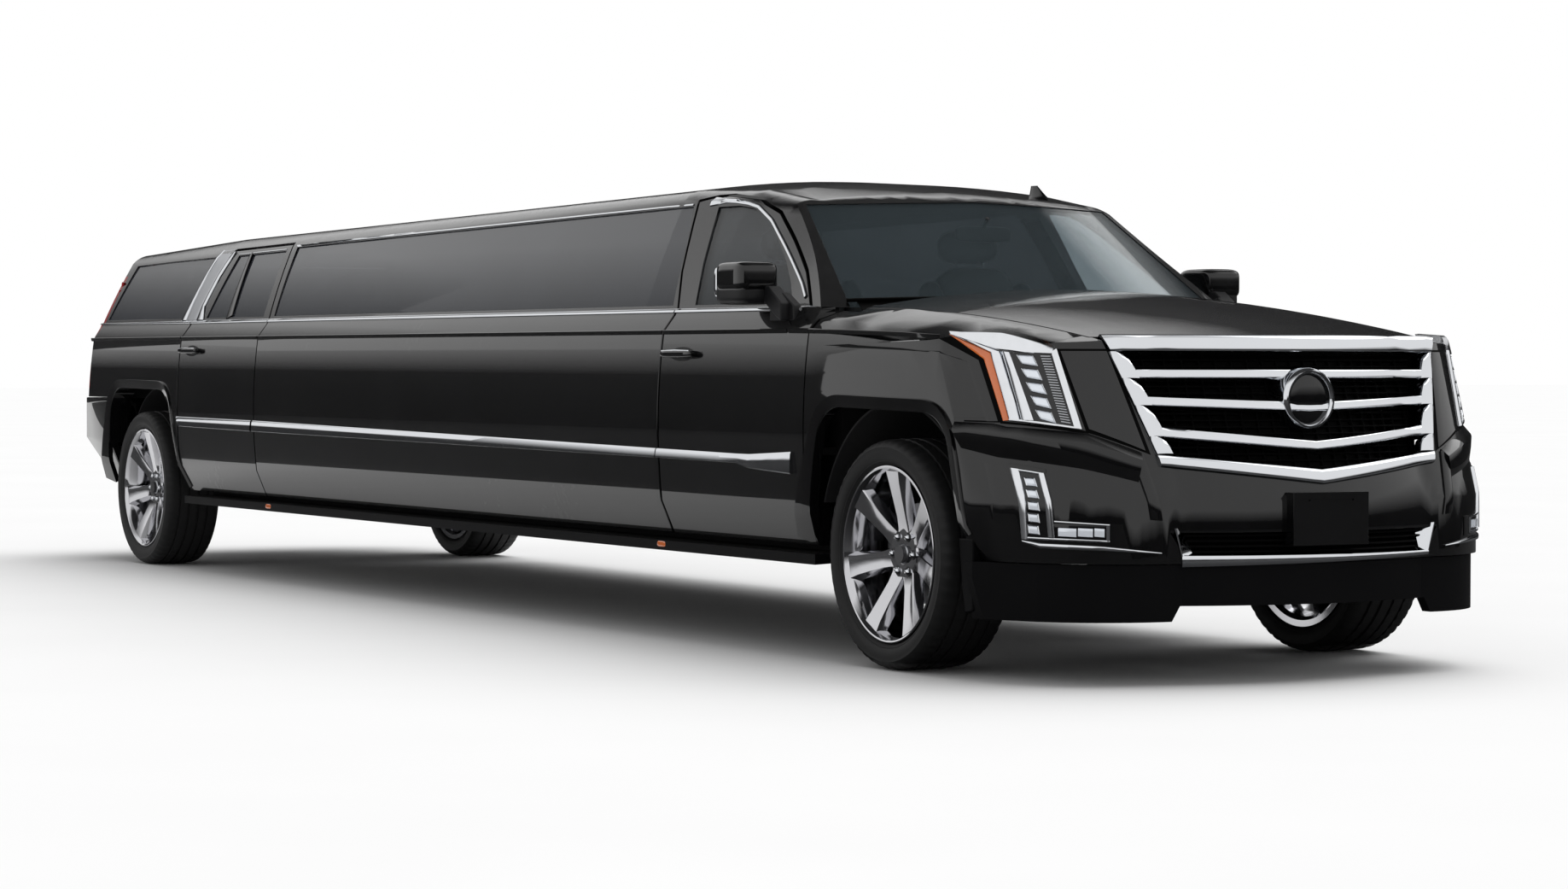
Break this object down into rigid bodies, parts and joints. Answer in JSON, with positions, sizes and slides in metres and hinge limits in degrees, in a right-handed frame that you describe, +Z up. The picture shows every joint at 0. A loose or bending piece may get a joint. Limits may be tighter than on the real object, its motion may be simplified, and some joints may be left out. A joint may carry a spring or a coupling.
{
  "type": "stretch limousine",
  "caption": "Stretched sport utility limousine in gloss black with chrome trim; doors, hood and tailgate open, wheels roll and the front pair steers.",
  "frame": {"origin": "on the ground under the middle of the overall bounding box", "axes": "+X towards the front of the car, +Y to its left, +Z up"},
  "size_m": [9.87, 2.212, 1.7625],
  "materials": {
    "black_paint": "gloss black clear-coated paint",
    "chrome": "polished chrome",
    "rim_chrome": "polished chrome",
    "dark_glass": "dark privacy glass",
    "clear_glass": "lightly tinted glass",
    "lamp_lens": "clear lamp lens over chrome reflectors",
    "tail_lens": "red lamp lens",
    "black_plastic": "moulded black plastic",
    "valance_plastic": "grained dark plastic",
    "frame_steel": "black painted steel",
    "exhaust_steel": "dull stainless steel",
    "cast_block": "cast metal",
    "underbody": "sealed underbody paint",
    "seat_leather": "black leather",
    "cabinet": "dark lacquered wood",
    "tyre": "black rubber"
  },
  "bodies": {
    "body": {"bar_cabinet": "cabinet", "cab_frame": "black_paint", "chassis_frame": "frame_steel", "corner_lamps": "lamp_lens", "cowl_firewall": "black_plastic", "dashboard": "black_plastic", "engine_block": "cast_block", "exhaust_system": "exhaust_steel", "fenders": "black_paint", "floor_pan": "underbody", "front_bumper": "black_paint", "front_seats": "seat_leather", "front_suspension": "frame_steel", "front_valance": "valance_plastic", "fuel_tank": "black_plastic", "grille": "chrome", "grille_backing": "black_plastic", "headlamps": "lamp_lens", "lounge_seat": "seat_leather", "partition": "cabinet", "quarter_panels": "black_paint", "rear_axle": "frame_steel", "rear_bumper": "black_paint", "roof_panel": "black_paint", "running_boards": "valance_plastic", "side_panels": "black_paint", "side_windows": "dark_glass", "steering_wheel": "seat_leather", "tail_lamps": "tail_lens", "tow_receiver": "frame_steel", "wheel_liners": "black_plastic", "windshield": "clear_glass"},
    "hood": {"hood": "black_paint"},
    "tailgate": {"tailgate": "black_paint", "tailgate_glass": "dark_glass"},
    "front_door_right": {"front_door_right": "black_paint", "front_door_glass_right": "clear_glass", "mirror_right": "black_paint"},
    "rear_door_right": {"rear_door_right": "black_paint", "rear_door_glass_right": "dark_glass"},
    "knuckle_right": {"knuckle_right": "frame_steel"},
    "wheel_front_right": {"rim_front_right": "rim_chrome", "tyre_front_right": "tyre"},
    "wheel_rear_right": {"rim_rear_right": "rim_chrome", "tyre_rear_right": "tyre"},
    "front_door_left": {"front_door_left": "black_paint", "front_door_glass_left": "clear_glass", "mirror_left": "black_paint"},
    "rear_door_left": {"rear_door_left": "black_paint", "rear_door_glass_left": "dark_glass"},
    "knuckle_left": {"knuckle_left": "frame_steel"},
    "wheel_front_left": {"rim_front_left": "rim_chrome", "tyre_front_left": "tyre"},
    "wheel_rear_left": {"rim_rear_left": "rim_chrome", "tyre_rear_left": "tyre"}
  },
  "joints": [
    {"name": "front_door_right_hinge", "type": "hinge", "parent": "body", "child": "front_door_right", "pos_m": [3.206, -1.008, 0.825], "axis": [0, 0, 1], "range_deg": [0, 65]},
    {"name": "rear_door_right_hinge", "type": "hinge", "parent": "body", "child": "rear_door_right", "pos_m": [-2.129, -1.008, 0.825], "axis": [0, 0, 1], "range_deg": [0, 65]},
    {"name": "front_door_left_hinge", "type": "hinge", "parent": "body", "child": "front_door_left", "pos_m": [3.206, 1.008, 0.825], "axis": [0, 0, -1], "range_deg": [0, 65]},
    {"name": "rear_door_left_hinge", "type": "hinge", "parent": "body", "child": "rear_door_left", "pos_m": [-2.129, 1.008, 0.825], "axis": [0, 0, -1], "range_deg": [0, 65]},
    {"name": "hood_hinge", "type": "hinge", "parent": "body", "child": "hood", "pos_m": [3.33, 0, 1.24], "axis": [0, -1, 0], "range_deg": [0, 55]},
    {"name": "tailgate_hinge", "type": "hinge", "parent": "body", "child": "tailgate", "pos_m": [-4.669, 0, 1.566], "axis": [0, 1, 0], "range_deg": [0, 80]},
    {"name": "steer_right", "type": "hinge", "parent": "body", "child": "knuckle_right", "pos_m": [3.785, -0.79, 0.395], "axis": [0, 0, 1], "range_deg": [-30, 30]},
    {"name": "steer_left", "type": "hinge", "parent": "body", "child": "knuckle_left", "pos_m": [3.785, 0.79, 0.395], "axis": [0, 0, 1], "range_deg": [-30, 30]},
    {"name": "wheel_front_right_spin", "type": "hinge", "parent": "knuckle_right", "child": "wheel_front_right", "pos_m": [3.785, -0.8725, 0.395], "axis": [0, 1, 0], "continuous": true},
    {"name": "wheel_front_left_spin", "type": "hinge", "parent": "knuckle_left", "child": "wheel_front_left", "pos_m": [3.785, 0.8725, 0.395], "axis": [0, 1, 0], "continuous": true},
    {"name": "wheel_rear_right_spin", "type": "hinge", "parent": "body", "child": "wheel_rear_right", "pos_m": [-3.705, -0.8725, 0.395], "axis": [0, 1, 0], "continuous": true},
    {"name": "wheel_rear_left_spin", "type": "hinge", "parent": "body", "child": "wheel_rear_left", "pos_m": [-3.705, 0.8725, 0.395], "axis": [0, 1, 0], "continuous": true}
  ],
  "couplings": [
    {"joint": "steer_left", "follows": "steer_right", "ratio": 1}
  ]
}
